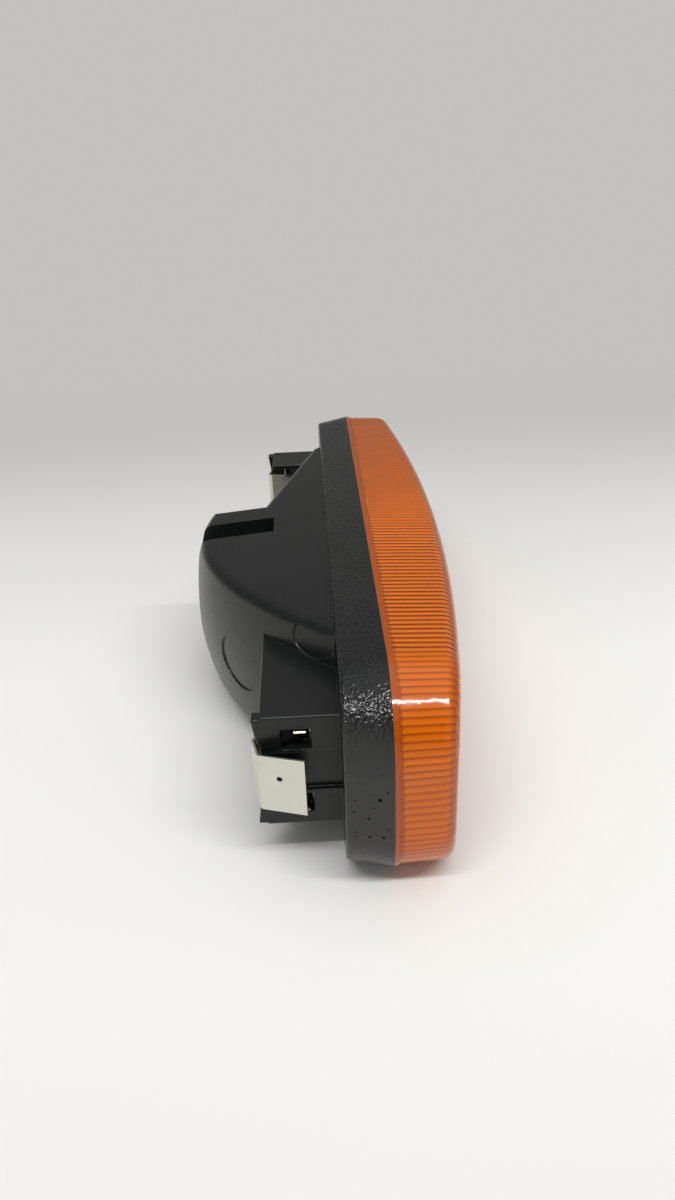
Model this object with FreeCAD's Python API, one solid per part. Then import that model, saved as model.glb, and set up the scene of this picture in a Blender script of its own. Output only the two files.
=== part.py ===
import FreeCAD
import Part
import math
import os

os.makedirs("parts", exist_ok=True)
Vector = FreeCAD.Vector

# Cab roof marker lamp: a fluted amber lens on a black housing with a parabolic bowl and two spring clips.
# Millimetres. X runs along the lamp, the lens faces -Y and Z is up.
# The origin is the middle of the panel opening, on the plane where the back of the rim meets the panel.

# Rim
lamp_length = 187.5
lamp_height = 50.0
corner_radius = 18.0
rim_depth = 9.6
rim_inset = 2.0
rim_back_fillet = 0.8
rim_wall = 2.6
back_wall = 2.4

# Lens
lens_end_depth = 12.0
lens_mid_depth = 19.7
lens_wall = 2.2
lens_inset = 0.9
lens_front_fillet = 3.5
foot_height = 1.0
foot_step = 0.4
spigot_depth = 2.5
spigot_wall = 1.4
spigot_clearance = 0.15
flute_pitch = 1.8
flute_depth = 0.5

# Bowl
land_y = 34.75
land_radius = 13.5
seat_recess = 1.6
seat_ledge = 1.65
bowl_draft = 5.2
bowl_fillet = 3.0
bowl_wall = 2.4
neck_half_width = 15.0
shoulder_y = 17.3
shoulder_angle = 18.3

# Keyway in the top of the bowl
key_width = 9.6
key_depth = 8.0
key_front_y = 14.15

# Ejector marks on the bowl: radius, distance from the middle, height
mark_sink = 0.4
mark_places = [(6.9, 37.6, -0.2), (4.5, 57.2, 17.5)]

# Clip blocks
block_end_gap = 14.35
block_height = 27.6
block_depth = 16.3
block_wall = 1.4
block_end_wall = 3.0
block_edge = 0.5
block_drop = 0.95
far_block_length = 13.4
ear_low_rise = 0.8
ear_high_rise = 1.7
ear_edge = 0.4
ear_clearance = 0.4
channel_height = 10.0
channel_depth = 1.3
window_depth = 6.15
window_height = 5.0
window_y = 9.1
window_z = 8.25

# Spring clips
clip_thickness = 0.5
clip_clearance = 0.1
clip_bend = 1.0
wing_clearance = 0.2
wing_back_y = 12.6
clip_base_front_y = 2.6
clip_rise = 1.5
leaf_width = 13.7
leaf_rear_gap = 2.6
leaf_front_gap = 5.4
leaf_front_y = 7.45
leaf_hole_radius = 0.6
leaf_hole_rise = 1.65
tab_height = 4.2
tab_rise = 1.9
tab_play = 0.3

# Bulb holder
hole_radius = 10.0
hole_clearance = 0.2
collar_thickness = 2.2
collar_radius = 13.0
lug_radius = 11.6
lug_thickness = 1.4
lug_span = 36.0
lug_count = 3
notch_turn = 270.0
notch_clearance = 0.3
gasket_thickness = 0.6
gasket_width = 1.7
flange_radius = 12.0
flange_thickness = 1.2
grip_width = 3.0
grip_depth = 1.5
socket_depth = 4.6
socket_margin = 1.3
holder_web = 1.2
holder_nose_radius = 8.2

# Contacts
blade_width = 6.3
blade_thickness = 0.8
blade_spacing = 7.2
blade_recess = 0.8
contact_bend = 0.9
slit_clearance = 0.05

# Bulb
bulb_radius = 5.1
bulb_wall = 0.7
bulb_base_length = 7.2
bulb_base_width = 9.4
bulb_base_thickness = 2.3
bulb_light_centre = 12.7
bulb_seat_gap = 1.1
bulb_base_clearance = 0.25
neck_radius = 4.7
lead_radius = 0.25
lead_spread = 2.3
lead_return = 5.5
filament_radius = 0.2
filament_gap = 0.8

# Levels along the lamp's axis, from the holder down to the filament
seat_y = land_y - seat_recess
flange_front_y = seat_y + gasket_thickness
flange_back_y = flange_front_y + flange_thickness
socket_floor_y = flange_back_y - socket_depth
pocket_end_y = socket_floor_y - holder_web
bulb_end_y = pocket_end_y - bulb_seat_gap
bulb_shoulder_y = bulb_end_y - bulb_base_length
filament_y = bulb_shoulder_y - bulb_light_centre

# The bowl is the parabola that has the filament as its focus and passes through the edge of the holder's land
land_to_focus = land_y - filament_y
focal_length = (land_to_focus + math.hypot(land_to_focus, land_radius)) / 2
apex_y = filament_y + focal_length

rim_front_y = -rim_depth
lens_front_y = rim_front_y - lens_mid_depth
foot_front_y = rim_front_y - foot_height
half_length = lamp_length / 2
bowl_half_height = lamp_height / 2 - rim_inset - seat_ledge
block_end_x = half_length - block_end_gap
block_z = -block_drop
reach = lamp_length + lamp_height

# The lens's front is an arc through both ends and the middle
sagitta = lens_mid_depth - lens_end_depth
front_radius = (half_length ** 2 + sagitta ** 2) / (2 * sagitta)
front_centre_y = lens_front_y + front_radius


def rounded_outline(inset, y):
    """The lamp's outline, drawn in by inset, as a wire in the plane at y."""
    a = half_length - inset
    b = lamp_height / 2 - inset
    r = corner_radius - inset
    edges = []
    corners = [(a - r, b - r, 0), (r - a, b - r, 90), (r - a, r - b, 180), (a - r, r - b, 270)]
    arcs = []
    for cx, cz, start in corners:
        angles = [math.radians(start + turn) for turn in (0, 45, 90)]
        arcs.append([Vector(cx + r * math.cos(t), y, cz + r * math.sin(t)) for t in angles])
    for here, following in zip(arcs, arcs[1:] + arcs[:1]):
        edges.append(Part.Arc(*here).toShape())
        edges.append(Part.makeLine(here[2], following[0]))
    return Part.Wire(edges)


def outline_slab(inset, y_from, y_to):
    """A straight plate of the outline between two levels."""
    return Part.Face(rounded_outline(inset, y_from)).extrude(Vector(0, y_to - y_from, 0))


def block(x_from, x_to, y_from, y_to, z_from, z_to):
    """A rectangular block between two levels on each axis."""
    size = (x_to - x_from, y_to - y_from, z_to - z_from)
    return Part.makeBox(*size, Vector(x_from, y_from, z_from))


def rod(radius, y_from, y_to, x=0.0, z=0.0):
    """A cylinder along the lamp's axis."""
    return Part.makeCylinder(radius, y_to - y_from, Vector(x, y_from, z), Vector(0, 1, 0))


def paraboloid(apex, focal, root):
    """A solid paraboloid about the lamp's axis, from its apex to a flat root.

    A quadratic Bezier is a true parabola.
    """
    radius = math.sqrt(4 * focal * (apex - root))
    curve = Part.BezierCurve()
    curve.setPoles([Vector(0, apex, 0), Vector(radius / 2, apex, 0), Vector(radius, root, 0)])
    rim_point = Vector(radius, root, 0)
    foot_point = Vector(0, root, 0)
    base = Part.makeLine(rim_point, foot_point)
    axis = Part.makeLine(foot_point, Vector(0, apex, 0))
    profile = Part.Face(Part.Wire([curve.toShape(), base, axis]))
    return profile.revolve(Vector(0, 0, 0), Vector(0, 1, 0), 360)


def drafted_flats(half_height, y_from, y_to):
    """The space between the bowl's top and bottom flats, which lean together towards the back."""
    slope = math.tan(math.radians(bowl_draft))
    front = half_height - slope * y_from
    back = half_height - slope * y_to
    points = [(y_from, front), (y_to, back), (y_to, -back), (y_from, -front), (y_from, front)]
    wire = Part.makePolygon([Vector(-reach, y, z) for y, z in points])
    return Part.Face(wire).extrude(Vector(2 * reach, 0, 0))


def far_relief(margin):
    """What the bowl lacks in its far half: all that lies behind the shoulder and beside the neck."""
    slope = math.tan(math.radians(shoulder_angle))
    neck = neck_half_width - margin
    corner_y = shoulder_y + margin * slope - margin / math.cos(math.radians(shoulder_angle))
    end_y = corner_y - (reach - neck) * slope
    points = [(neck, corner_y), (neck, reach), (reach, reach), (reach, end_y), (neck, corner_y)]
    wire = Part.makePolygon([Vector(x, y, -reach) for x, y in points])
    return Part.Face(wire).extrude(Vector(0, 0, 2 * reach))


def ring_sector(r_from, r_to, y_from, y_to, middle, span):
    """A piece of a ring about the lamp's axis, span degrees wide about its middle."""
    points = [(r_from, y_from), (r_to, y_from), (r_to, y_to), (r_from, y_to), (r_from, y_from)]
    face = Part.Face(Part.makePolygon([Vector(r, y, 0) for r, y in points]))
    face.rotate(Vector(0, 0, 0), Vector(0, 1, 0), middle - span / 2)
    return face.revolve(Vector(0, 0, 0), Vector(0, 1, 0), span)


def rounded_path(points, radii):
    """Straight runs and bends through the points, as edges in the XY plane."""
    edges = []
    start = points[0]
    for corner, after, radius in zip(points[1:-1], points[2:], radii):
        towards = (corner - start).normalize()
        away = (after - corner).normalize()
        half_turn = math.acos(max(-1.0, min(1.0, towards.dot(away)))) / 2
        run = radius * math.tan(half_turn)
        inward = (away - towards).normalize()
        middle = corner + inward * (radius / math.cos(half_turn) - radius)
        first = corner - towards * run
        last = corner + away * run
        edges.append(Part.makeLine(start, first))
        edges.append(Part.Arc(first, middle, last).toShape())
        start = last
    edges.append(Part.makeLine(start, points[-1]))
    return edges


def strip_face(centre_line, thickness, bend):
    """The edge view of a bent sheet: its centre line with half the thickness laid off on each side."""
    points = [Vector(u, v, 0) for u, v in centre_line]
    runs = [(q - p).normalize() for p, q in zip(points, points[1:])]
    normals = [Vector(-run.y, run.x, 0) for run in runs]
    sides = []
    for side in (1, -1):
        offset = side * thickness / 2
        path = [points[0] + normals[0] * offset]
        radii = []
        for i in range(1, len(points) - 1):
            mitre = (normals[i - 1] + normals[i]) * (offset / (1 + normals[i - 1].dot(normals[i])))
            path.append(points[i] + mitre)
            turn = math.copysign(1, runs[i - 1].cross(runs[i]).z)
            radii.append(bend - turn * offset)
        path.append(points[-1] + normals[-1] * offset)
        sides.append(rounded_path(path, radii))
    left, right = sides
    first_cap = Part.makeLine(left[0].Vertexes[0].Point, right[0].Vertexes[0].Point)
    last_cap = Part.makeLine(left[-1].Vertexes[-1].Point, right[-1].Vertexes[-1].Point)
    edges = Part.sortEdges(left + right + [first_cap, last_cap])[0]
    return Part.Face(Part.Wire(edges))


def mirrored(shape):
    """The same shape at the lamp's other end."""
    return shape.mirror(Vector(0, 0, 0), Vector(1, 0, 0))


def make_bowl():
    """The outside of the bowl: a paraboloid between two flats, with round edges, cut off at the land."""
    bowl = paraboloid(apex_y, focal_length, -back_wall)
    bowl = bowl.common(drafted_flats(bowl_half_height, -back_wall, apex_y)).cut(far_relief(0))
    near_flat = bowl_half_height / 2
    edges = []
    for edge in bowl.Edges:
        box = edge.BoundBox
        if box.YLength > bowl_fillet and (box.ZMin > near_flat or box.ZMax < -near_flat):
            edges.append(edge)
    bowl = bowl.makeFillet(bowl_fillet, edges)
    return bowl.common(block(-reach, reach, -back_wall, land_y, -reach, reach))


def make_cavity():
    """The space inside the bowl. Its parabola has the outer one's focus, so the reflector is focused too."""
    inner = paraboloid(apex_y - bowl_wall, focal_length - bowl_wall, rim_front_y)
    inner = inner.common(drafted_flats(bowl_half_height - bowl_wall, rim_front_y, apex_y))
    inner = inner.cut(far_relief(bowl_wall))
    half_key = key_width / 2 + bowl_wall
    key_floor = bowl_half_height - key_depth - bowl_wall
    inner = inner.cut(block(-half_key, half_key, key_front_y - bowl_wall, apex_y, key_floor, reach))
    return inner.cut(rod(collar_radius, seat_y - collar_thickness, apex_y))


def make_ear(side):
    """One of the two ears that stand beside the clip on the block's end wall, higher towards the outside."""
    z_in = block_z + side * (leaf_width / 2 + ear_clearance)
    z_out = block_z + side * (block_height / 2 - ear_clearance)
    root_y = block_depth - block_end_wall
    low = (block_depth + ear_low_rise, z_in)
    high = (block_depth + ear_high_rise, z_out)
    points = [(root_y, z_in), low, high, (root_y, z_out), (root_y, z_in)]
    face = Part.Face(Part.makePolygon([Vector(block_end_x, y, z) for y, z in points]))
    ear = face.extrude(Vector(-block_end_wall, 0, 0))
    return ear.makeFillet(ear_edge, ear.Edges)


def make_block(inner_x):
    """One clip block, solid, from inner_x to its end, with the two ears at its end wall."""
    half = block_height / 2
    solid = block(inner_x, block_end_x, -back_wall, block_depth, block_z - half, block_z + half)
    solid = solid.makeFillet(block_edge, solid.Edges)
    return solid.fuse([make_ear(-1), make_ear(1)])


def make_block_hollows(bowl):
    """What is taken out of one clip block: the clip's pocket, the leaf's channel and the two windows."""
    half = block_height / 2 - block_wall
    pocket = block(0, block_end_x - block_end_wall, 0, apex_y, block_z - half, block_z + half).cut(bowl)
    channel_x = block_end_x - channel_depth
    half_channel = channel_height / 2
    channel = block(channel_x, half_length, 0, apex_y, block_z - half_channel, block_z + half_channel)
    hollows = [pocket, channel]
    for side in (-1, 1):
        middle = block_z + side * window_z
        z_range = (middle - window_height / 2, middle + window_height / 2)
        y_range = (window_y - window_depth / 2, window_y + window_depth / 2)
        hollows.append(block(block_end_x - 2 * block_end_wall, half_length, *y_range, *z_range))
    return hollows


def make_marks(bowl):
    """The ejector marks: round places that lie a little below the bowl's surface."""
    sunk = bowl.copy()
    sunk.translate(Vector(0, -mark_sink, 0))
    return [rod(radius, 0, apex_y, x, z).cut(sunk) for radius, x, z in mark_places]


def make_housing():
    """The black moulding: rim, bowl, keyway, clip blocks and the land for the bulb holder."""
    wires = [rounded_outline(0, rim_front_y), rounded_outline(rim_inset, 0)]
    rim = Part.makeLoft(wires, True, True)
    back_edges = [edge for edge in rim.Edges if edge.BoundBox.YMin > rim_front_y / 2]
    rim = rim.makeFillet(rim_back_fillet, back_edges)
    bowl = make_bowl()
    turned_bowl = mirrored(bowl)
    far_block = make_block(block_end_x - far_block_length)
    near_block = mirrored(make_block(half_length / 4))
    body = rim.fuse([bowl, far_block, near_block])
    hollows = [outline_slab(rim_wall, rim_front_y, -back_wall), make_cavity()]
    hollows += make_block_hollows(bowl)
    hollows += [mirrored(hollow) for hollow in make_block_hollows(turned_bowl) + make_marks(turned_bowl)]
    half_key = key_width / 2
    hollows.append(block(-half_key, half_key, key_front_y, apex_y, bowl_half_height - key_depth, reach))
    hollows.append(rod(hole_radius, 0, apex_y))
    hollows.append(rod(flange_radius + notch_clearance, seat_y, apex_y))
    notch_span = lug_span + math.degrees(2 * notch_clearance / lug_radius)
    for i in range(lug_count):
        middle = notch_turn + 360 / lug_count * i
        hollows.append(ring_sector(0, lug_radius + notch_clearance, 0, apex_y, middle, notch_span))
    return body.cut(hollows).removeSplitter()


def make_flute_core():
    """The lens's inside: flutes all round the wall, and upright flutes of the same pitch across the front."""
    valley = foot_step + lens_wall
    ridge = valley + flute_depth
    straight_x = half_length - corner_radius
    straight_z = lamp_height / 2 - corner_radius
    mean_radius = corner_radius - valley - flute_depth / 2
    corner_flutes = round(mean_radius * math.pi / 2 / flute_pitch)
    long_flutes = round(2 * straight_x / flute_pitch)
    end_flutes = max(1, round(2 * straight_z / flute_pitch))
    ring = []
    corners = [(1, 1, 0), (-1, 1, 90), (-1, -1, 180), (1, -1, 270)]
    for number, (sx, sz, start) in enumerate(corners):
        centre = (sx * straight_x, sz * straight_z)
        for k in range(2 * corner_flutes):
            radius = corner_radius - (ridge if k % 2 else valley)
            angle = math.radians(start + 90 * k / (2 * corner_flutes))
            ring.append((centre[0] + radius * math.cos(angle), centre[1] + radius * math.sin(angle)))
        flutes = end_flutes if number % 2 else long_flutes
        run = 2 * straight_z if number % 2 else 2 * straight_x
        ahead = math.radians(start + 180)
        out = math.radians(start + 90)
        for k in range(2 * flutes):
            radius = corner_radius - (ridge if k % 2 else valley)
            along = run * k / (2 * flutes)
            x = centre[0] + along * math.cos(ahead) + radius * math.cos(out)
            z = centre[1] + along * math.sin(ahead) + radius * math.sin(out)
            ring.append((x, z))
    ring.append(ring[0])
    wall_wire = Part.makePolygon([Vector(x, foot_front_y, z) for x, z in ring])
    walls = Part.Face(wall_wire).extrude(Vector(0, lens_front_y - foot_front_y, 0))
    steps = long_flutes + 2 * corner_flutes
    front = []
    for k in range(-steps, steps + 1):
        x = k * flute_pitch / 2
        radius = front_radius - lens_wall - (flute_depth if k % 2 else 0)
        front.append((x, front_centre_y - math.sqrt(radius * radius - x * x)))
    back_y = rim_front_y
    front = [(front[0][0], back_y)] + front + [(front[-1][0], back_y), (front[0][0], back_y)]
    front_wire = Part.makePolygon([Vector(x, y, -lamp_height) for x, y in front])
    across = Part.Face(front_wire).extrude(Vector(0, 0, 2 * lamp_height))
    return walls.common(across)


def make_lens():
    """The amber cover: a drafted wall under a bowed front, on a foot with a spigot inside the rim."""
    wires = [rounded_outline(foot_step, foot_front_y), rounded_outline(foot_step + lens_inset, lens_front_y)]
    shell = Part.makeLoft(wires, True, True)
    low = Vector(0, front_centre_y, -lamp_height)
    shell = shell.common(Part.makeCylinder(front_radius, 2 * lamp_height, low))
    front_edges = [edge for edge in shell.Edges if edge.BoundBox.YMax < foot_front_y - foot_height]
    shell = shell.makeFillet(lens_front_fillet, front_edges)
    spigot_inset = rim_wall + spigot_clearance
    foot = outline_slab(0, rim_front_y, foot_front_y)
    spigot = outline_slab(spigot_inset, rim_front_y, rim_front_y + spigot_depth)
    mouth = outline_slab(spigot_inset + spigot_wall, rim_front_y + spigot_depth, foot_front_y)
    return shell.fuse([foot, spigot]).cut([make_flute_core(), mouth]).removeSplitter()


def make_clip():
    """One spring clip: a base with two wings inside the block, a web over its end wall and a leaf outside."""
    base_x = block_end_x - block_end_wall - clip_clearance - clip_thickness / 2
    web_y = block_depth + clip_thickness
    centre_line = [(base_x, clip_base_front_y), (base_x, web_y + clip_rise)]
    centre_line.append((block_end_x + leaf_rear_gap, web_y))
    centre_line.append((block_end_x + leaf_front_gap, leaf_front_y))
    blank = strip_face(centre_line, clip_thickness, clip_bend)
    blank.translate(Vector(0, 0, -leaf_width / 2))
    strip = blank.extrude(Vector(0, 0, leaf_width))
    inner_x = base_x - clip_thickness / 2
    half_wing = block_height / 2 - block_wall - wing_clearance
    wings = block(inner_x, inner_x + clip_thickness, clip_base_front_y, wing_back_y, -half_wing, half_wing)
    strip = strip.fuse(wings)
    tab_front = window_y - window_depth / 2 + 2 * tab_play
    tab_back = window_y + window_depth / 2 - tab_play
    tab_line = [(base_x, tab_front - 2 * tab_play), (base_x, tab_front), (base_x + tab_rise, tab_back)]
    for side in (-1, 1):
        z_low = side * window_z - tab_height / 2
        z_high = side * window_z + tab_height / 2
        slot = block(0, block_end_x, tab_front, tab_back + tab_play, z_low - tab_play, z_high + tab_play)
        tab = strip_face(tab_line, clip_thickness, clip_bend)
        tab.translate(Vector(0, 0, z_low))
        strip = strip.cut(slot).fuse(tab.extrude(Vector(0, 0, tab_height)))
    hole_y = (web_y + leaf_front_y) / 2 + leaf_hole_radius
    bore_start = Vector(block_end_x, hole_y, leaf_hole_rise)
    bore = Part.makeCylinder(leaf_hole_radius, reach, bore_start, Vector(1, 0, 0))
    strip = strip.cut(bore).removeSplitter()
    strip.translate(Vector(0, 0, block_z))
    return strip


def make_holder():
    """The twist-in bulb holder: flange, body and lugs, a pocket for the bulb and a socket for the plug."""
    body_radius = hole_radius - hole_clearance
    lug_back_y = seat_y - collar_thickness - slit_clearance
    lug_front_y = lug_back_y - lug_thickness
    flange = rod(flange_radius, flange_front_y, flange_back_y)
    nose = rod(holder_nose_radius, bulb_shoulder_y, flange_front_y)
    holder = flange.fuse([rod(body_radius, lug_front_y, flange_back_y), nose])
    for i in range(lug_count):
        middle = notch_turn + 360 / lug_count * (i + 0.5)
        lug = ring_sector(holder_nose_radius, lug_radius, lug_front_y, lug_back_y, middle, lug_span)
        holder = holder.fuse(lug)
    half_socket_x = blade_width / 2 + socket_margin
    half_socket_z = (blade_spacing + blade_thickness) / 2 + socket_margin
    hollows = [block(-half_socket_x, half_socket_x, socket_floor_y, reach, -half_socket_z, half_socket_z)]
    half_base = bulb_base_width / 2 + bulb_base_clearance
    half_pocket = (blade_spacing + blade_thickness) / 2 + bulb_base_clearance
    hollows.append(block(-half_base, half_base, 0, pocket_end_y, -half_pocket, half_pocket))
    half_slit = blade_width / 2 + slit_clearance
    for side in (-1, 1):
        middle = side * blade_spacing / 2
        thick = blade_thickness / 2 + slit_clearance
        hollows.append(block(-half_slit, half_slit, 0, reach, middle - thick, middle + thick))
        edge = side * flange_radius
        x_range = sorted((edge - side * grip_depth, 2 * edge))
        hollows.append(block(*x_range, 0, reach, -grip_width / 2, grip_width / 2))
    return holder.cut(hollows).removeSplitter()


def make_contact():
    """The upper contact: a blade in the socket that steps in to press on the bulb's lead."""
    blade_z = blade_spacing / 2
    press_z = bulb_base_thickness / 2 + 2 * lead_radius + slit_clearance + blade_thickness / 2
    step = blade_z - press_z
    centre_line = [(flange_back_y - blade_recess, blade_z), (pocket_end_y - step, blade_z)]
    centre_line.append((pocket_end_y - 2 * step, press_z))
    centre_line.append((bulb_shoulder_y + 2 * step, press_z))
    centre_line.append((bulb_shoulder_y + step / 2, press_z + step / 2))
    strip = strip_face(centre_line, blade_thickness, contact_bend)
    strip.translate(Vector(0, 0, -blade_width / 2))
    strip = strip.extrude(Vector(0, 0, blade_width))
    turned = FreeCAD.Matrix(0, 0, 1, 0, 1, 0, 0, 0, 0, 1, 0, 0, 0, 0, 0, 1)
    return strip.transformGeometry(turned)


def make_leads():
    """The two lead wires: each comes down through the base, turns under it and runs back up one side."""
    top_y = filament_y + lead_spread
    turn_radius = (bulb_base_thickness / 2 + lead_radius) / 2
    wires = []
    for side in (-1, 1):
        x = side * lead_spread
        wire = rod(lead_radius, top_y, bulb_end_y, x)
        circle = Part.makeCircle(lead_radius, Vector(x, bulb_end_y, 0), Vector(0, 1, 0))
        turn_centre = Vector(x, bulb_end_y, side * turn_radius)
        bend = Part.Face(Part.Wire(circle)).revolve(turn_centre, Vector(side, 0, 0), 180)
        back = rod(lead_radius, bulb_end_y - lead_return, bulb_end_y, x, side * 2 * turn_radius)
        wires.append(wire.fuse([bend, back]).removeSplitter())
    return wires


def make_filament():
    """The filament: an arch between the tips of the leads."""
    top_y = filament_y + lead_spread
    section = Part.Wire(Part.makeCircle(filament_radius, Vector(-lead_spread, top_y, 0), Vector(0, 1, 0)))
    return Part.Face(section).revolve(Vector(0, top_y, 0), Vector(0, 0, 1), 180)


def make_glass():
    """The capless bulb's glass: a round-ended tube, pinched to a flat base that holds the leads."""
    tip_y = filament_y - filament_gap - bulb_wall

    def tube(radius, tip, end, end_radius):
        shoulder = end - radius / 2
        dome_y = tip + radius
        slant = radius * math.sqrt(0.5)
        side_point = Vector(radius, dome_y, 0)
        dome = Part.Arc(Vector(0, tip, 0), Vector(slant, dome_y - slant, 0), side_point).toShape()
        points = [(radius, dome_y), (radius, shoulder), (end_radius, end), (0, end), (0, tip)]
        lines = Part.makePolygon([Vector(r, y, 0) for r, y in points])
        profile = Part.Face(Part.Wire([dome] + lines.Edges))
        return profile.revolve(Vector(0, 0, 0), Vector(0, 1, 0), 360)

    outside = tube(bulb_radius, tip_y, bulb_shoulder_y, neck_radius)
    inner_end_y = bulb_shoulder_y - 2 * bulb_wall
    inner_neck = neck_radius - 2 * bulb_wall
    inside = tube(bulb_radius - bulb_wall, tip_y + bulb_wall, inner_end_y, inner_neck)
    half_width = bulb_base_width / 2
    half_thick = bulb_base_thickness / 2
    base = block(-half_width, half_width, bulb_shoulder_y - bulb_wall, bulb_end_y, -half_thick, half_thick)
    holes = [rod(lead_radius, filament_y, bulb_end_y, side * lead_spread) for side in (-1, 1)]
    return outside.fuse(base).cut([inside] + holes).removeSplitter()


clip = make_clip()
contact = make_contact()
gasket_inner = hole_radius + hole_clearance
gasket = rod(gasket_inner + gasket_width, seat_y, flange_front_y).cut(rod(gasket_inner, 0, reach))
parts = {
    "housing": make_housing(),
    "lens": make_lens(),
    "clip_right": clip,
    "clip_left": mirrored(clip),
    "bulb_holder": make_holder(),
    "holder_gasket": gasket,
    "contact_upper": contact,
    "contact_lower": contact.mirror(Vector(0, 0, 0), Vector(0, 0, 1)),
    "bulb_glass": make_glass(),
    "bulb_leads": Part.makeCompound(make_leads()),
    "bulb_filament": make_filament(),
}
for name, shape in parts.items():
    shape.exportStep(f"parts/{name}.step")
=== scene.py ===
# %% [markdown]
# # A cab roof marker lamp
# The lamp is an amber lens welded to a black moulded housing, with a bright parabolic bowl inside,
# a spring clip at each end and a bulb in a twist-in holder at the back.
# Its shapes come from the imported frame, so this lesson is about finishes: black plastic with a fine
# grain, clear amber plastic over flutes, plated steel, rubber, brass and glass.

# %% Load the frame
import math

import bpy
from mathutils import Matrix, Vector


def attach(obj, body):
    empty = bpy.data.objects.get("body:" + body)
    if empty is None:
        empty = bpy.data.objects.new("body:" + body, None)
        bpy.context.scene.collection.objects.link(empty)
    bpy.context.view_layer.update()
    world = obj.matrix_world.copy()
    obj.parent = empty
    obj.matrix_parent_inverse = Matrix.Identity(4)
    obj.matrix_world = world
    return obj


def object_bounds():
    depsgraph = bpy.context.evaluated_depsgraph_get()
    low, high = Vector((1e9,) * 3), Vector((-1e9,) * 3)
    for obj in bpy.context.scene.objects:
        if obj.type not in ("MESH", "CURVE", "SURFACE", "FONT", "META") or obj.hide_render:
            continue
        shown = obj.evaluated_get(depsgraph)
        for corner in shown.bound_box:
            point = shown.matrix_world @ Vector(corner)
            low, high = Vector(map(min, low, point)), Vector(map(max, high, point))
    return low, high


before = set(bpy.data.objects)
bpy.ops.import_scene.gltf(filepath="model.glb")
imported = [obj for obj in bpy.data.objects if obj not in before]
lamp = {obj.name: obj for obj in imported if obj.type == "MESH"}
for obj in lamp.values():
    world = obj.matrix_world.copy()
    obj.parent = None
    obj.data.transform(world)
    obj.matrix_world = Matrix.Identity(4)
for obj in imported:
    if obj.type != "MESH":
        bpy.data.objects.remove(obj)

cad_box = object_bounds()
print("pieces:", ", ".join(sorted(lamp)))
print("box in mm:", [[round(1000 * v, 1) for v in corner] for corner in cad_box])

# %% [markdown]
# ## Shader maths as plain sums
# A finish is mostly arithmetic on positions, such as "in front of the panel" or "close to an edge".
# Node by node that is hard to read, so one small class stands for an output socket and lets Python's own
# operators add the Math nodes. Every other node comes from its one method, settings first, sockets after.


# %% A socket that can be added and multiplied
class Wire:
    """An output socket of a finish."""

    def __init__(self, socket):
        self.socket = socket

    def add(self, kind, settings=None, sockets=None, output=0):
        """Any other node: its type, its settings, then the values or links of its sockets."""
        tree = self.socket.id_data
        made = tree.nodes.new(kind)
        for name, value in (settings or {}).items():
            if name == "stops":
                ramp = made.color_ramp
                while len(ramp.elements) < len(value):
                    ramp.elements.new(1.0)
                for element, (position, colour) in zip(ramp.elements, value):
                    element.position = position
                    element.color = (*colour, 1.0)
            else:
                setattr(made, name, value)
        for name, value in (sockets or {}).items():
            if isinstance(value, Wire):
                tree.links.new(value.socket, made.inputs[name])
            else:
                made.inputs[name].default_value = value
        return Wire(made.outputs[output])

    def into(self, socket):
        """Links this socket to an input."""
        self.socket.id_data.links.new(self.socket, socket)

    def maths(self, operation, *values):
        """A Math node on these values."""
        return self.add("ShaderNodeMath", {"operation": operation}, dict(enumerate(values)))

    def __add__(self, other):
        return self.maths("ADD", self, other)

    def __sub__(self, other):
        return self.maths("SUBTRACT", self, other)

    def __mul__(self, other):
        return self.maths("MULTIPLY", self, other)

    def __truediv__(self, other):
        return self.maths("DIVIDE", self, other)

    def __rsub__(self, other):
        return self.maths("SUBTRACT", other, self)

    def __rtruediv__(self, other):
        return self.maths("DIVIDE", other, self)

    def __gt__(self, other):
        return self.maths("GREATER_THAN", self, other)

    def __abs__(self):
        return self.maths("ABSOLUTE", self)

    __radd__ = __add__
    __rmul__ = __mul__

    def larger(self, other):
        return self.maths("MAXIMUM", self, other)

    def smaller(self, other):
        return self.maths("MINIMUM", self, other)

    def fraction(self):
        return self.maths("FRACT", self)

    def root(self):
        return self.maths("SQRT", self)

    def rise(self, low, high):
        """0 below low and 1 above high, with a soft step between. A low above high turns it round."""
        span = {"Value": self, "From Min": low, "From Max": high}
        return self.add("ShaderNodeMapRange", {"interpolation_type": "SMOOTHSTEP"}, span)

    def within(self, low, high, soft):
        """1 between low and high, with steps as wide as soft on the inside of both."""
        return self.rise(low, low + soft) * self.rise(high, high - soft)

    def blend(self, first, second):
        """The first colour where this mask is 0, the second where it is 1."""
        pair = [(*c, 1.0) if isinstance(c, tuple) else c for c in (first, second)]
        # The Mix node's colours are its inputs 6 and 7 and its output 2.
        sockets = {"Factor": self, 6: pair[0], 7: pair[1]}
        return self.add("ShaderNodeMix", {"data_type": "RGBA"}, sockets, 2)

    def ramp(self, stops):
        """A colour from a list of positions and colours."""
        return self.add("ShaderNodeValToRGB", {"stops": stops}, {"Fac": self})


print("operators ready: + - * / > abs, larger, smaller, fraction, root, rise, within, blend and ramp")

# %% [markdown]
# ## Where on the lamp a point is
# Every finish starts from the same facts: the point's place along the lamp, through it and up it.
# The frame's pieces all sit at the origin, so Blender's object coordinates are those places in metres.
# A noise that is measured in millimetres then has a grain size that can be compared with the real thing.


# %% A new finish and its millimetres
def new_finish(name, values):
    """A material with one Principled shader. What is the same all over is set straight on its sockets."""
    material = bpy.data.materials.new(name)
    material.use_nodes = True
    shader = material.node_tree.nodes["Principled BSDF"]
    for socket, value in values.items():
        shader.inputs[socket].default_value = value
    return material, shader


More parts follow.
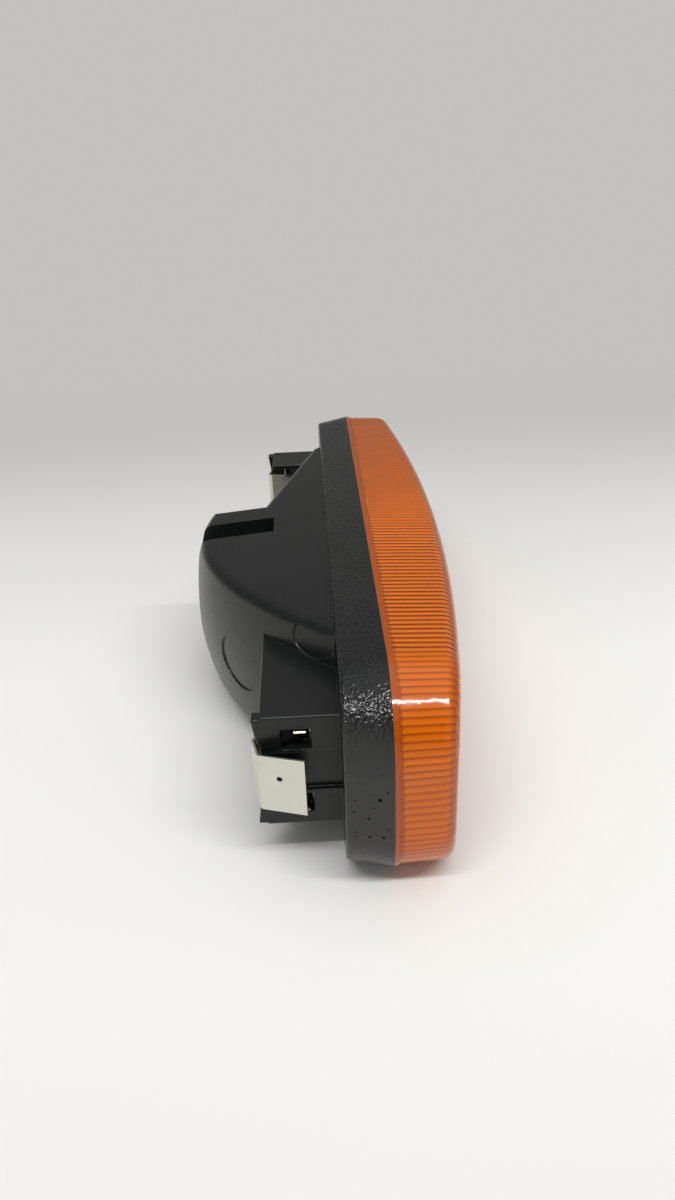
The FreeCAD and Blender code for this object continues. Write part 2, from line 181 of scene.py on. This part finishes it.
def parts_of(vector):
    """The three numbers of a vector."""
    return [vector.add("ShaderNodeSeparateXYZ", {}, {"Vector": vector}, i) for i in range(3)]


def millimetres(shader):
    """The place as a vector and as its three numbers, in millimetres."""
    metres = Wire(shader.outputs[0]).add("ShaderNodeTexCoord", output="Object")
    place = metres.add("ShaderNodeVectorMath", {"operation": "SCALE"}, {0: metres, "Scale": 1000.0})
    return place, *parts_of(place)


def noise(place, size_mm, detail=2.0, stretch=(1.0, 1.0, 1.0)):
    """Cloudy noise from 0 to 1 whose blobs are about size_mm across."""
    drawn = place.add("ShaderNodeVectorMath", {"operation": "MULTIPLY"}, {0: place, 1: stretch})
    return place.add("ShaderNodeTexNoise", {}, {"Vector": drawn, "Scale": 1.0 / size_mm, "Detail": detail})


print("finishes can be started and measured in millimetres")

# %% [markdown]
# ## Relief and edges
# Moulded and stamped edges are never quite sharp: each carries a thin line of light.
# A Bevel node rounds them in the shading alone, so the solids keep their shape.
# Grain and pits are too small to model, so a Bump node goes on top.


# %% Relief, and putting a finish on a piece
def raise_surface(shader, height, depth_mm, edge_mm=0.0):
    """Bump of depth_mm for a height of 1, over edges rounded by edge_mm."""
    sockets = {"Height": height, "Distance": depth_mm / 1000.0}
    if edge_mm:
        sockets["Normal"] = height.add("ShaderNodeBevel", {"samples": 6}, {"Radius": edge_mm / 1000.0})
    height.add("ShaderNodeBump", {}, sockets).into(shader.inputs["Normal"])


def dress(names, material):
    """Gives CAD pieces a finish in every slot."""
    for name in names:
        for slot in lamp[name].material_slots:
            slot.material = material
    print(material.name, "on", ", ".join(names))


print("relief ready, with edges rounded in the shading")

# %% [markdown]
# ## The black housing
# The housing is one moulding, but not one surface. The rim that shows on the cab has a fine spark-eroded
# grain, the bowl and blocks behind the panel are plain satin, and the inside of the bowl is coated bright.
# Three materials would need three pieces. One material that asks where it is keeps the moulding whole.

# %% The housing's sizes, in millimetres
apex, focal, wall = 36.36, 28.21, 2.4
flat_half, flat_slope = 21.35, math.tan(math.radians(5.2))
shoulder_y, shoulder_slope, neck_half = 17.3, math.tan(math.radians(18.3)), 15.0
key_half, key_front, key_floor = 4.8, 14.15, 13.35
holder_land = 30.6
straight_x, straight_z = 75.75, 7.0
rim_inside, rim_floor = 15.9, -2.4

black, shader = new_finish("housing_black", {"IOR": 1.43})
place, x, y, z = millimetres(shader)
print("bowl: apex at", apex, "mm, focus", focal, "mm in front of it")

# %% [markdown]
# ## The reflector
# The coating covers what the bulb can shine on. It is found by the bowl's own geometry: all that lies
# inside a bowl halfway through the wall, a paraboloid cut by the flats, the shoulder and the keyway.
# The floor of the rim belongs to it too. Faces picked by number would be lost with the next pack.

# %% Where the reflector is
half_wall, soft = wall / 2, 0.01
in_parabola = 4 * (focal - half_wall) * (apex - half_wall - y) - (x * x + z * z)
in_flats = flat_half - half_wall - flat_slope * y - abs(z)
in_shoulder = shoulder_y - half_wall - shoulder_slope * (x - neck_half) - y
in_neck = neck_half - half_wall - x
key_side = (abs(x) - key_half - half_wall).larger(key_floor - half_wall - z)
key_clear = key_side.larger(key_front - half_wall - y)
cuts = (in_flats, in_shoulder.larger(in_neck), key_clear, holder_land - y)
reflector = in_parabola.rise(-soft, soft)
for inside in cuts:
    reflector = reflector * inside.rise(-soft, soft)

corner_x = (abs(x) - straight_x).larger(0.0)
corner_z = (abs(z) - straight_z).larger(0.0)
in_rim = rim_inside * rim_inside - (corner_x * corner_x + corner_z * corner_z)
floor_band = y.within(rim_floor - 0.2, rim_floor + 0.2, 0.1)
reflector = reflector.larger(floor_band * in_rim.rise(-1.0, 1.0))
print("reflector: a paraboloid with", len(cuts), "cuts, and the rim's floor")

# %% [markdown]
# ## Grain, pits and satin
# The rim's grain sparkles where light strikes it at the corner. Its near end face is calmer and greyer,
# and a few small pits sit there, as sinks and knocks leave them. Single pits could be modelled, but a
# Voronoi pattern gives each cell one pit of its own random size, or none.

# %% Masks of the rim
grain_mm, cells_per_mm = 0.64, 0.3
rim = y.rise(0.4, -0.2)
grain = noise(place, grain_mm, 0.5)
calm = x.rise(-82.0, -90.0) * z.rise(19.5, 13.0)
mottle = noise(place, 9.0, 4.0)
satin = noise(place, 1.6, 5.0)

end_face = y.add("ShaderNodeCombineXYZ", {}, {"X": y, "Y": z})
pattern, spread = {"voronoi_dimensions": "2D"}, {"Vector": end_face, "Scale": cells_per_mm}
distance = place.add("ShaderNodeTexVoronoi", pattern, spread)
cell_colour = place.add("ShaderNodeTexVoronoi", pattern, spread, "Color")
chance = cell_colour.add("ShaderNodeSeparateColor", {}, {"Color": cell_colour})
lower_end = x.rise(-84.0, -88.0) * z.rise(11.0, 3.0) * rim
pits = (distance - chance * 0.12).rise(0.03, -0.02) * chance.rise(0.2, 0.4) * lower_end
print("grain", grain_mm, "mm across, at most one pit in each", round(1 / cells_per_mm, 1), "mm cell")

# %% [markdown]
# ## The housing's finish
# The masks now choose colour, gloss and relief. A pit is black because light is trapped in it, so it is
# set as black metal, which reflects hardly anything. The rim has the glossier plastic and the stronger
# relief, so its grain glints, while the bowl and the blocks stay satin.

# %% Colour, gloss and relief of the housing
dark_black, light_black = (0.0055, 0.0064, 0.0062), (0.0085, 0.0095, 0.0092)
end_grey, pit_black = (0.024, 0.024, 0.0235), (0.001, 0.001, 0.001)
bright_coating = (0.86, 0.86, 0.84)
plastic = mottle.blend(dark_black, light_black)
plastic = (calm * rim).blend(plastic, end_grey)
plastic = pits.blend(plastic, pit_black)
reflector.blend(plastic, bright_coating).into(shader.inputs["Base Color"])
(reflector + pits).into(shader.inputs["Metallic"])
dull = mottle * 0.08 + satin * 0.05 + 0.22 - rim * (0.13 - 0.16 * calm)
(dull * (1 - reflector) + 0.14 * reflector).into(shader.inputs["Roughness"])
relief = rim * grain * (4.0 - 3.4 * calm) - pits * 1.6 + (1 - rim) * satin * 0.05 + 0.3
raise_surface(shader, relief * (1 - reflector), 0.06, 0.35)
dress(["housing"], black)

# %% [markdown]
# ## The lens's flutes
# The lens is fluted on its inner wall, so that the lamp shows a soft even glow. Those flutes are in the
# solid, but thick milky plastic hides most of what they do. The bright crests and dark grooves that one sees
# are painted into the colour instead, as painted highlight and painted shade: each point is numbered by its
# stripe, along the sides, over the ends and round the corners.
# The corners get as many stripes as the photograph shows, which is more than the solid's 13 flutes there.

# %% Which stripe a point is on
side_stripes, end_stripes, corner_stripes = 84, 8, 18
amber, shader = new_finish("lens_amber", {"IOR": 1.49, "Transmission Weight": 0.45})
place, x, y, z = millimetres(shader)
past_x, past_z = abs(x) - straight_x, abs(z) - straight_z
along_side = (x + straight_x) * (side_stripes / (2 * straight_x))
along_end = (z + straight_z) * (end_stripes / (2 * straight_z))
round_corner = past_z.maths("ARCTAN2", past_z, past_x) * (corner_stripes / (math.pi / 2))
on_end = past_x > 0.0
on_corner = on_end * (past_z > 0.0)
number = along_side * (1 - on_end) + along_end * (on_end - on_corner) + round_corner * on_corner
wander = noise(place, 5.0, 2.0, (1.0, 0.5, 1.0)) * 0.16
turn = (number + wander).fraction()
print("stripes:", side_stripes, "on a side,", end_stripes, "on an end,", corner_stripes, "on a corner")

# %% [markdown]
# ## Zones of the lens
# A foot sits on the rim, where the weld has left an uneven edge with a dark seam. The rounded edge of the
# front is painted darker, as painted shade for the longer path through the plastic there. Along the sides
# the painted stripes are strong on the near half and fade on the far half, where the amber is painted darker
# as painted shade. On the ends they are calmer.

# %% Foot, seam, front and strength of the stripes
front_out, front_curve, front_pitch = 29.3, 1149.2, 1.8
behind_front = y + front_out - x * x / front_curve
uneven = y + noise(place, 2.5) * 1.1 + turn * 0.3
foot = uneven.rise(-10.35, -10.1)
seam = uneven.rise(-10.8, -10.5) * (1 - foot)
edge_shade_mask = behind_front.rise(2.4, 1.0)
front_zone = behind_front.rise(1.0, 0.3)
across = (x / front_pitch + 100.0).fraction()
near_half = x.rise(15.0, -35.0) * 0.86 + 0.14
low_end = z.rise(-6.0, -20.0) * on_end
calmer_ends = 1 - 0.6 * on_end + 0.15 * on_corner - 0.2 * low_end
strength = (1 - foot) * near_half.larger(on_end) * calmer_ends
print("front", front_out, "mm out, bowed by", round(straight_x ** 2 / front_curve, 1), "mm")

# %% [markdown]
# ## Amber plastic
# The plastic is coloured all through. Clear glass with a tint would show the bowl too sharply, so the shader
# is part clear and part milky, and the colours are laid over each other from the haze and painted shade to
# the foot.

# %% Colour, gloss and relief of the lens
# Painted highlight and painted shade of the flutes: one stripe runs from a dark groove through a bright
# crest.
painted_groove_shade = (0.25, 0.034, 0.001)
painted_flute_light = [(0.0, painted_groove_shade), (0.18, (0.36, 0.054, 0.001)), (0.3, (1.0, 0.31, 0.006)),
          (0.42, (1.0, 0.245, 0.003)), (0.62, (0.98, 0.225, 0.002)), (0.85, (0.82, 0.16, 0.002)),
          (1.0, painted_groove_shade)]
deep_amber, light_amber = (0.56, 0.118, 0.001), (0.98, 0.196, 0.001)
edge_shade_amber, seam_amber, foot_amber = (0.26, 0.038, 0.002), (0.22, 0.028, 0.001), (0.61, 0.116, 0.002)
# Random cloudiness, with painted shade: the amber is lighter towards the near end and darker towards the far
# end.
haze_and_far_shade = noise(place, 14.0, 2.0) * 0.5 + x.rise(60.0, -75.0) * 0.5
colour = haze_and_far_shade.blend(deep_amber, light_amber)
# The flutes' painted highlight and painted shade, strongest on the near half.
colour = strength.blend(colour, turn.ramp(painted_flute_light))
# Painted shade: the rounded front edge is darkened for the longer path through the plastic there.
colour = (edge_shade_mask * 0.5).blend(colour, edge_shade_amber)
# The same painted flute highlight and shade on the front face.
colour = (front_zone * 0.6).blend(colour, across.ramp(painted_flute_light))
colour = (seam * 0.45).blend(colour, seam_amber)
foot.blend(colour, foot_amber).into(shader.inputs["Base Color"])
(noise(place, 3.0, 3.0) * 0.06 + 0.07).into(shader.inputs["Roughness"])
raise_surface(shader, noise(place, 3.5, 2.0), 0.08)
dress(["lens"], amber)

# %% [markdown]
# ## The plated clips
# The clips are stamped from spring steel and plated with zinc, which leaves a pale, faintly warm metal.
# Rolling leaves fine lines and plating leaves soft clouds, so both are noise, one of them stretched.
# The tabs that spring into the blocks' windows sit in shade, which is painted on them as near-black colour,
# left off the top edge of the tip and the front edge. A mask by place makes that, because each tab sits in
# one small box.

# %% Zinc-plated spring steel
block_z = -0.95
dull_zinc, bright_zinc, painted_tab_shade = (0.62, 0.61, 0.53), (0.74, 0.73, 0.65), (0.02, 0.02, 0.021)
plated, shader = new_finish("clip_plated", {"Metallic": 1.0})
place, x, y, z = millimetres(shader)
rolled = noise(place, 0.5, 3.0, (1.0, 0.06, 1.0))
clouds = noise(place, 4.0, 3.0)
off_middle = abs(z - block_z)
# Painted shade: each tab in its window is coloured near-black, except the tip's top edge and the front edge.
tab = abs(x).within(74.0, 79.9, 0.2) * y.within(6.3, 12.4, 0.1) * off_middle.within(5.9, 10.7, 0.1)
tip_top = off_middle.rise(9.6, 9.65) * y.rise(9.6, 9.55) * abs(x).rise(78.9, 79.0)
unshaded_edges = tip_top + y.rise(11.75, 11.85)
zinc = (clouds * 0.7 + rolled * 0.3).blend(dull_zinc, bright_zinc)
(tab * (1 - unshaded_edges)).blend(zinc, painted_tab_shade).into(shader.inputs["Base Color"])
(rolled * 0.12 + clouds * 0.1 + 0.26).into(shader.inputs["Roughness"])
raise_surface(shader, rolled, 0.006, 0.12)
dress(["clip_left", "clip_right"], plated)

# %% [markdown]
# ## Bent tips of the tabs
# In the photograph one short edge of bright metal shows at the top of the block's window: the tip of the
# tab, bent over so that it hooks behind the window's edge. It is thin trim on the clips, so it is added
# here as one small bar per tab, with the face that catches the strip light sloping up and outwards.

# %% Four bars in one piece
section = ((79.6, 9.38), (79.86, 9.15), (79.7, 8.9), (76.2, 8.8), (76.2, 9.3))
bar_ends = (7.0, 9.5)
corners = len(section)
points, faces = [], []
for side, up in ((-1, 1), (-1, -1), (1, 1), (1, -1)):
    near = [len(points) + i for i in range(corners)]
    far = [i + corners for i in near]
    for end in bar_ends:
        for out, height in section:
            point_mm = (side * out, end, up * (height - block_z) + block_z)
            points.append([v / 1000 for v in point_mm])
    bar = [near[::-1], far] + [[near[i - 1], near[i], far[i], far[i - 1]] for i in range(corners)]
    faces += [face[::-1] for face in bar] if side * up > 0 else bar

tip_mesh = bpy.data.meshes.new("tab_tips")
tip_mesh.from_pydata(points, [], faces)
tip_mesh.materials.append(plated)
tips = bpy.data.objects.new("tab_tips", tip_mesh)
bpy.context.scene.collection.objects.link(tips)
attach(tips, "root")
print("tab tips:", len(faces), "faces")

# %% [markdown]
# ## Holder, gasket, contacts and bulb
# These sit at the back and inside, and each is finished plainly as what it is: a dark moulding, soft
# rubber, brass strip, clear glass and drawn wire. Each could have a graph of its own, but so little of
# them shows that they share one recipe, a noise that shifts colour and gloss a little.


# %% A plain finish with a little variation
def plain_finish(name, colours, gloss, size_mm, depth_mm, values):
    """Two close colours and two close roughnesses, mixed by one noise, with a slight relief."""
    material, shader = new_finish(name, values)
    place = millimetres(shader)[0]
    cloudy = noise(place, size_mm, 4.0)
    cloudy.blend(*colours).into(shader.inputs["Base Color"])
    (cloudy * (gloss[1] - gloss[0]) + gloss[0]).into(shader.inputs["Roughness"])
    raise_surface(shader, cloudy, depth_mm, 0.15)
    return material


dark_grey = ((0.02, 0.02, 0.021), (0.032, 0.032, 0.033))
rubber_black = ((0.009, 0.009, 0.009), (0.016, 0.016, 0.016))
dress(["bulb_holder"], plain_finish("holder_dark", dark_grey, (0.4, 0.55), 0.8, 0.02, {}))
dress(["holder_gasket"], plain_finish("gasket_black", rubber_black, (0.65, 0.85), 0.5, 0.02, {}))

# %% Metals and glass
metal = {"Metallic": 1.0}
clear = {"Transmission Weight": 1.0, "IOR": 1.5}
brass = ((0.66, 0.48, 0.2), (0.8, 0.62, 0.3))
nickel = ((0.6, 0.58, 0.53), (0.74, 0.72, 0.68))
tungsten = ((0.24, 0.24, 0.25), (0.4, 0.4, 0.42))
glass = ((0.93, 0.95, 0.95), (0.97, 0.98, 0.98))
contacts = ["contact_upper", "contact_lower"]
dress(contacts, plain_finish("contact_brass", brass, (0.2, 0.38), 1.5, 0.004, metal))
dress(["bulb_leads"], plain_finish("lead_nickel", nickel, (0.2, 0.35), 0.6, 0.002, metal))
dress(["bulb_filament"], plain_finish("filament_tungsten", tungsten, (0.3, 0.5), 0.2, 0.02, metal))
dress(["bulb_glass"], plain_finish("bulb_clear", glass, (0.0, 0.03), 2.5, 0.002, clear))

# %% [markdown]
# ## The floor
# The lamp stands on its lower edge on a white ground. A flat floor keeps its shadow, and further away the
# floor turns into an even grey, so that no horizon shows from any side. A curved backdrop would hide the
# horizon from one side only.

# %% Floor
even_grey = (0.54, 0.535, 0.515, 1.0)
reach, floor_z = 30.0, cad_box[0].z
outline = [(-reach, -reach), (reach, -reach), (reach, reach), (-reach, reach)]
floor_mesh = bpy.data.meshes.new("floor")
floor_mesh.from_pydata([(*corner, floor_z) for corner in outline], [], [(0, 1, 2, 3)])
floor = bpy.data.objects.new("floor", floor_mesh)
bpy.context.scene.collection.objects.link(floor)
print("floor at", round(1000 * floor_z, 2), "mm")

# %% White ground with painted fall-off that fades into grey
near_x, far_x = -200.0, 240.0
round_start, round_end, back_start, back_end = 320.0, 800.0, 90.0, 330.0
floor_tones_with_painted_falloff = [(0.0, (0.52, 0.517, 0.503)), (0.11, (0.75, 0.745, 0.725)), (0.2, (0.80, 0.795, 0.775)),
               (0.45, (0.84, 0.835, 0.815)), (1.0, (0.60, 0.595, 0.58))]
paper, shader = new_finish("floor_paper", {"Roughness": 0.9, "Specular IOR Level": 0.1})
x, y = millimetres(shader)[1:3]
# Painted light: the floor is brightest round the lamp, darker towards the back as painted fall-off of the
# light, and darker towards the front.
tone = ((x - near_x) / (far_x - near_x)).ramp(floor_tones_with_painted_falloff)
tone.into(shader.inputs["Base Color"])
rays = ("Is Camera Ray", "Is Glossy Ray", "Is Transmission Ray")
camera_ray, glossy_ray, clear_ray = [tone.add("ShaderNodeLightPath", output=ray) for ray in rays]
seen = (camera_ray + glossy_ray + clear_ray).smaller(1.0)
away = (x * x + y * y).root().rise(round_start, round_end)
fade = away.larger(x.rise(back_start, back_end))
even = tone.add("ShaderNodeEmission", {}, {"Color": even_grey})
mixed = tone.add("ShaderNodeMixShader", {}, {0: seen * fade, 1: Wire(shader.outputs[0]), 2: even})
mixed.into(paper.node_tree.nodes["Material Output"].inputs["Surface"])
floor_mesh.materials.append(paper)
print("floor is grey from", back_end, "mm along X and from", round_end, "mm all round")

# %% [markdown]
# ## The light box
# The world stands for the walls of a white box that is open in front, which is what the black plastic
# reflects. The front is dark with a low glow above the ground, the front left is bright, the other walls
# are grey and the ceiling is paler. Real walls would have to be hidden from each camera in turn.

# %% World
dark_front, low_glow, bright_opening = (0.1, 0.1, 0.1), (0.42, 0.42, 0.41), (0.95, 0.95, 0.93)
back_grey, left_grey, right_grey = (0.25, 0.25, 0.24), (0.22, 0.22, 0.215), (0.4, 0.4, 0.39)
pale_ceiling = (0.5, 0.5, 0.49)
world = bpy.data.worlds.new("light_box")
bpy.context.scene.world = world
world.use_nodes = True
sky = world.node_tree.nodes["Background"]
way = Wire(sky.outputs[0]).add("ShaderNodeTexCoord", output="Generated")
along, sideways, upward = parts_of(way)
front = upward.rise(0.28, 0.05).blend(dark_front, low_glow)
walls = along.rise(-0.7, 0.3).blend(front, back_grey)
left_wall = along.rise(-0.6, -0.25).blend(bright_opening, left_grey)
walls = sideways.rise(0.25, 0.5).blend(walls, left_wall)
walls = sideways.rise(-0.2, -0.5).blend(walls, right_grey)
upward.rise(0.45, 0.95).blend(walls, pale_ceiling).into(sky.inputs["Color"])
backdrop = way.add("ShaderNodeBackground", {}, {"Color": even_grey})
looked = way.add("ShaderNodeLightPath", output="Is Camera Ray")
both = way.add("ShaderNodeMixShader", {}, {0: looked, 1: Wire(sky.outputs[0]), 2: backdrop})
both.into(world.node_tree.nodes["World Output"].inputs["Surface"])
print("light box: front, back, left, right and ceiling, and an even grey for the camera")

# %% [markdown]
# ## The lamps
# A large soft panel hangs overhead. A narrow strip in front of it does most of the work: it draws the
# bright line over the lens's corner and the sparkle on the rim. A small round light would draw a spot there,
# so the strip is long, and it was placed so that the line falls where the photograph shows it.


# %% Lamps
def panel(name, spot, aim, size, watts):
    """A rectangular light at spot, turned towards aim, its long side along the lamp's depth."""
    light = bpy.data.lights.new(name, "AREA")
    light.shape = "RECTANGLE"
    light.size, light.size_y = size
    light.energy = watts
    made = bpy.data.objects.new(name, light)
    bpy.context.scene.collection.objects.link(made)
    back = (Vector(spot) - Vector(aim)).normalized()
    side = Vector((0, 1, 0))
    up = back.cross(side).normalized()
    made.matrix_world = Matrix.Translation(spot) @ Matrix((side, up, back)).transposed().to_4x4()
    print(name, watts, "W")


panel("overhead", (-0.05, 0.0, 0.9), (0.0, 0.0, 0.0), (1.2, 1.0), 1.6)
panel("strip", (-0.426, -0.09, 0.74), (-0.09, -0.01, 0.02), (1.0, 0.04), 5.6)

# %% [markdown]
# ## The camera
# The photograph looks down along the lamp from one end. The camera's place, turn and lens were found by
# matching the rim, bowl and lens outlines to the picture, so they are given here as numbers.

# %% Camera
spot = Vector((-0.226430, 0.003569, 0.118539))
yaw, pitch, roll = -0.0263103, -0.4970943, -0.0361739
focal_pixels, picture_pixels = 905.06, 1200
ahead = Vector((math.cos(pitch) * math.cos(yaw), math.cos(pitch) * math.sin(yaw), math.sin(pitch)))
right = ahead.cross(Vector((0, 0, 1))).normalized()
up = right.cross(ahead)
turned_right = math.cos(roll) * right + math.sin(roll) * up
turned_up = math.cos(roll) * up - math.sin(roll) * right
turned = Matrix((turned_right, turned_up, -ahead)).transposed().to_4x4()

view = bpy.data.cameras.new("camera")
view.sensor_width = 36.0
view.lens = focal_pixels / picture_pixels * view.sensor_width
view.clip_start = 0.005
camera = bpy.data.objects.new("camera", view)
bpy.context.scene.collection.objects.link(camera)
camera.matrix_world = Matrix.Translation(spot) @ turned
bpy.context.scene.camera = camera
bpy.context.scene.view_settings.view_transform = "Standard"
print("lens", round(view.lens, 2), "mm")
